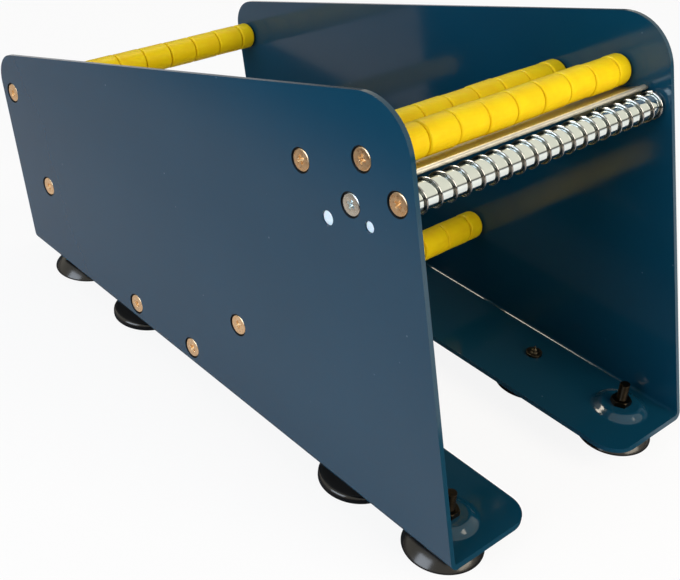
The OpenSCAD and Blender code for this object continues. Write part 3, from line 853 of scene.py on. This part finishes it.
class DISPENSER_OT_studs_and_nuts(PieceOperator, bpy.types.Operator):
    """Cut the studs' threads and finish the hexagon nuts"""

    bl_idname = "dispenser.studs_and_nuts"
    bl_label = "Studs and Nuts"

    def execute(self, context):
        fixing = self.settings(context, "fixing")
        foot = self.settings(context, "foot")
        steel = drawn_steel("dull_chromate_steel", "#2f2921", "#15120e", (1, 1, 0.3), 0.26, 0.42)
        for corner in CORNERS:
            node = corner + "_stud"
            low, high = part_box(node)
            shape = thread_shape(below(node), half(node, "x"), foot.thread, low.z, high.z)
            add_piece(node + "_thread", shape, steel, node)
            node = corner + "_nut"
            add_piece(node + "_body", rounded_copy(node, 20, fixing.edge_round), steel, node)
        return {"FINISHED"}


class DISPENSER_OT_disc_feet(PieceOperator, bpy.types.Operator):
    """Make the disc feet, their pointed screws and the lock rings above the flange"""

    bl_idname = "dispenser.disc_feet"
    bl_label = "Disc Feet"

    def execute(self, context):
        fixing = self.settings(context, "fixing")
        foot = self.settings(context, "foot")
        rubber = black_rubber("matt_rubber", foot, 0.16, 0.6, 3.9 * MM, 4.15 * MM, 0.6)
        steel = drawn_steel("black_oxide_screw", "#4e483d", "#26221c", (1, 1, 1), 0.26, 0.42)
        head = self.pan_head(fixing, foot)
        for corner in CORNERS:
            node = corner + "_disc"
            shape = self.disc(foot, node, corner + "_foot_screw")
            add_piece(node + "_foot", shape, rubber, node)
            node = corner + "_foot_screw"
            add_piece(node + "_body", self.pointed_screw(foot, node, head), steel, node)
            node = corner + "_foot_ring"
            add_piece(node + "_body", rounded_copy(node, 50, fixing.edge_round), steel, node)
        head.free()
        return {"FINISHED"}

    def disc(self, settings, node, screw):
        """A flat disc with a rolled rim, a fillet to its neck, and a pocket below for the screw head."""
        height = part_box(node)[1].z
        radius, neck, top = half(node, "x"), settings.disc_neck / 2, settings.disc_height
        bore = settings.screw / 2 + 0.05 * MM
        pocket = half(screw, "x") + 0.4 * MM
        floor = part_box(screw)[0].z + settings.screw_head
        rim, fillet, chamfer, sole, mouth = settings.disc_edge, 0.8 * MM, 0.4 * MM, 0.5 * MM, 0.3 * MM
        outline = (
            [(bore, height), (neck - chamfer, height), (neck, height - chamfer)]
            + arc((neck + fillet, top + fillet), fillet, 180, 270, 5)
            + arc((radius - rim, top - rim), rim, 90, 0, 8)
            + arc((radius - sole, sole), sole, 0, -90, 4)
            + [(pocket + mouth, 0), (pocket, mouth), (pocket, floor), (bore, floor)]
        )
        return turned_shape(outline, UP, below(node), 80, closed=True)

    def pan_head(self, fixing, foot):
        """The head of a foot screw, its cross below, with a stub of shank that its thread covers."""
        radius, height, stub = 4.5 * MM, foot.screw_head, foot.screw / 2 - 0.8 * MM
        dome, chamfer, top = 1.4 * MM, 0.15 * MM, height + 1 * MM
        outline = (
            [(0, 0), (radius - dome, 0)]
            + arc((radius - dome, dome), dome, -60, 0, 6)
            + [(radius, height - chamfer), (radius - chamfer, height), (stub, height),
               (stub, top), (0, top)]
        )
        return cross_head(fixing, outline)

    def pointed_screw(self, settings, node, head):
        """A self-tapping screw: its pan head, and a coarse thread that narrows to a gimlet point."""
        low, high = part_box(node)
        foot = below(node)
        start, taper, tip = low.z + settings.screw_head, 3.5 * MM, 0.03
        shape = thread_shape(foot, settings.screw / 2, settings.screw_thread, start, high.z)
        for vert in shape.verts:
            share = min(1, max(tip, (high.z - vert.co.z) / taper))
            vert.co.x = foot.x + (vert.co.x - foot.x) * share
            vert.co.y = foot.y + (vert.co.y - foot.y) * share
        upright = Matrix.Rotation(-math.pi / 2, 4, "Y")
        add_copy(shape, head, Matrix.Translation((foot.x, foot.y, low.z)) @ upright)
        return shape


class DISPENSER_OT_stage(PieceOperator, bpy.types.Operator):
    """Set the pale floor, the soft lamps, the white surroundings and the camera"""

    bl_idname = "dispenser.stage"
    bl_label = "Stage"
    # What gloss sees of the floor, by place along X in metres: a painted reflection of a tan table to the
    # left that darkens with distance, and a painted shadow between the plates
    mirrored = ((-0.42, "#4c4036"), (-0.25, "#dbc3ac"), (-0.12, "#f2dfcf"), (-0.1, "#f2dfcf"),
                (-0.085, "#565d61"), (0.085, "#565d61"), (0.11, "#fafafa"))
    # Name, place and size in metres, power in watts, tint, and whether it lights more than gloss
    lamps = (("window", (-1.7, 0.05, 0.78), (1.2, 1.2), 25, "#e3efff", True),
             ("front", (0.32, -1.36, 0.86), (1.0, 1.0), 18, "#fff1dc", True),
             ("strip_above", (0.2, 0.68, 1.3), (1.0, 0.5), 26, "#fff2dc", False))

    def execute(self, context):
        settings = self.settings(context, "stage")
        context.scene.view_settings.view_transform = "Standard"
        self.lay_floor(settings)
        self.light_world(context)
        self.hang_lamps()
        camera = bpy.data.cameras.new("camera")
        camera.lens = settings.lens
        camera.clip_start = 10 * MM
        stand = add_object("camera", camera)
        stand.location = settings.camera_at
        stand.rotation_euler = settings.camera_turn
        context.scene.camera = stand
        return {"FINISHED"}

    def white_share(self, tree, in_gloss):
        """One for camera and transmission rays, which see the pale surroundings, and in_gloss for
        glossy rays."""
        path = add_node(tree, "ShaderNodeLightPath")
        gloss = add_node(tree, "ShaderNodeMath", {"operation": "MULTIPLY"}, {
            0: path.outputs["Is Glossy Ray"], 1: in_gloss})
        seen = add_node(tree, "ShaderNodeMath", {"operation": "MAXIMUM"}, {
            0: path.outputs["Is Camera Ray"], 1: gloss.outputs[0]})
        return add_node(tree, "ShaderNodeMath", {"operation": "MAXIMUM"}, {
            0: seen.outputs[0], 1: path.outputs["Is Transmission Ray"]}).outputs[0]

    def lay_floor(self, settings):
        """A matt floor that keeps the object's shadow, and glows for the camera, so that it is white.
        Gloss sees painted tones in its place: a painted reflection of a tan table that darkens to the
        left, and a painted shadow between the plates, which the powder coat shows in place of a white
        room."""
        half_side, reach, glow_share = 3, 0.5, 0.9
        shape = bmesh.new()
        bmesh.ops.create_grid(shape, x_segments=1, y_segments=1, size=half_side)
        floor = add_shape("floor", shape)
        material, tree, place = new_material("pale_floor")
        across = add_node(tree, "ShaderNodeSeparateXYZ", inputs={0: place}).outputs["X"]
        along = add_node(tree, "ShaderNodeMapRange", inputs={
            "Value": across, "From Min": -reach, "From Max": reach})
        # The ramp holds the painted reflection to the left and the painted shadow between the plates
        painted_reflection_ramp = add_node(tree, "ShaderNodeValToRGB", inputs={"Fac": along.outputs["Result"]})
        painted_reflection_ramp.color_ramp.interpolation = "EASE"
        for at, colour in self.mirrored:
            stop = painted_reflection_ramp.color_ramp.elements.new((at + reach) / (2 * reach))
            stop.color = opaque(linear(colour))
        path = add_node(tree, "ShaderNodeLightPath")
        # Glossy rays get the painted tones: painted reflection to the left, painted shadow between the
        # plates
        tone = add_node(tree, "ShaderNodeMix", OF_COLOURS, {
            0: path.outputs["Is Glossy Ray"], 6: opaque(settings.floor_colour),
            7: painted_reflection_ramp.outputs["Color"]}).outputs[2]
        matt = add_node(tree, "ShaderNodeBsdfDiffuse", inputs={"Color": tone})
        glow = add_node(tree, "ShaderNodeEmission", inputs={"Color": tone, "Strength": 1})
        share = add_node(tree, "ShaderNodeMath", {"operation": "MULTIPLY"}, {
            0: self.white_share(tree, 0.3), 1: glow_share})
        mix = add_node(tree, "ShaderNodeMixShader", inputs={
            0: share.outputs[0], 1: matt.outputs[0], 2: glow.outputs[0]})
        add_node(tree, "ShaderNodeOutputMaterial", inputs={"Surface": mix.outputs[0]})
        floor.data.materials.append(material)

    def light_world(self, context):
        """Dim and even for the object's light. The camera sees it white, and metal mirrors it as the
        cream walls of a studio, greyer low down, so that chrome shows a horizon. The horizon's two
        heights are those of a ray's direction, which is 1 straight up."""
        dim_strength, horizon_low, horizon_high = 0.38, 0.03, 0.17
        world = bpy.data.worlds.new("surroundings")
        world.use_nodes = True
        tree = world.node_tree
        tree.nodes.clear()
        aim = add_node(tree, "ShaderNodeTexCoord").outputs["Generated"]
        height = add_node(tree, "ShaderNodeSeparateXYZ", inputs={0: aim})
        wall = add_node(tree, "ShaderNodeMapRange", {"interpolation_type": "SMOOTHSTEP"}, {
            "Value": height.outputs["Z"], "From Min": horizon_low, "From Max": horizon_high})
        room = add_node(tree, "ShaderNodeMix", OF_COLOURS, {
            0: wall.outputs["Result"], 6: opaque(linear("#66635c")), 7: opaque(linear("#f0ead9"))})
        path = add_node(tree, "ShaderNodeLightPath")
        shade = add_node(tree, "ShaderNodeMix", OF_COLOURS, {
            0: path.outputs["Is Camera Ray"], 6: room.outputs[2], 7: (1, 1, 1, 1)})
        dim = add_node(tree, "ShaderNodeBackground", inputs={
            "Color": (1, 1, 1, 1), "Strength": dim_strength})
        white = add_node(tree, "ShaderNodeBackground", inputs={"Color": shade.outputs[2], "Strength": 1})
        mix = add_node(tree, "ShaderNodeMixShader", inputs={
            0: self.white_share(tree, 1), 1: dim.outputs[0], 2: white.outputs[0]})
        add_node(tree, "ShaderNodeOutputWorld", inputs={"Surface": mix.outputs[0]})
        context.scene.world = world

    def hang_lamps(self):
        """Soft lamps, turned to the object's middle. The last one only makes highlights on gloss."""
        target = Vector((0, 0, 0.1))
        for name, place, size, power, tint, on_matt in self.lamps:
            lamp = bpy.data.lights.new(name, "AREA")
            lamp.shape = "RECTANGLE"
            lamp.size, lamp.size_y = size
            lamp.energy = power
            lamp.color = linear(tint)
            stand = add_object(name, lamp)
            stand.location = place
            stand.rotation_euler = (target - Vector(place)).to_track_quat("-Z", "Y").to_euler()
            stand.visible_diffuse = on_matt


class DISPENSER_PT_panel(bpy.types.Panel):
    """Lists the dispenser's sizes, colours and operators"""

    bl_label = "Label Dispenser"
    bl_idname = "DISPENSER_PT_panel"
    bl_space_type = "VIEW_3D"
    bl_region_type = "UI"
    bl_category = "Dispenser"

    def draw(self, context):
        """One box of settings for each group, and then the operators in order."""
        for group, settings in GROUPS.items():
            box = self.layout.box()
            box.label(text=group.capitalize())
            for name in settings.__annotations__:
                box.prop(getattr(context.scene, "dispenser_" + group), name)
        for operator in OPERATORS:
            self.layout.operator(operator.bl_idname)


OPERATORS = (
    DISPENSER_OT_plates,
    DISPENSER_OT_rods,
    DISPENSER_OT_sleeves,
    DISPENSER_OT_front_roller,
    DISPENSER_OT_peel_plate,
    DISPENSER_OT_screws,
    DISPENSER_OT_suction_cups,
    DISPENSER_OT_studs_and_nuts,
    DISPENSER_OT_disc_feet,
    DISPENSER_OT_stage,
)
CLASSES = (*GROUPS.values(), *OPERATORS, DISPENSER_PT_panel)


def register():
    """Registers the classes and gives the scene its groups of settings."""
    for cls in CLASSES:
        bpy.utils.register_class(cls)
    for group, settings in GROUPS.items():
        setattr(bpy.types.Scene, "dispenser_" + group, PointerProperty(type=settings))


def unregister():
    """Takes the groups of settings and the classes away again."""
    for group in GROUPS:
        delattr(bpy.types.Scene, "dispenser_" + group)
    for cls in reversed(CLASSES):
        bpy.utils.unregister_class(cls)


def main():
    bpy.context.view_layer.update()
    register()
    for operator in OPERATORS:
        family, name = operator.bl_idname.split(".")
        getattr(getattr(bpy.ops, family), name)()


if __name__ == "__main__":
    main()
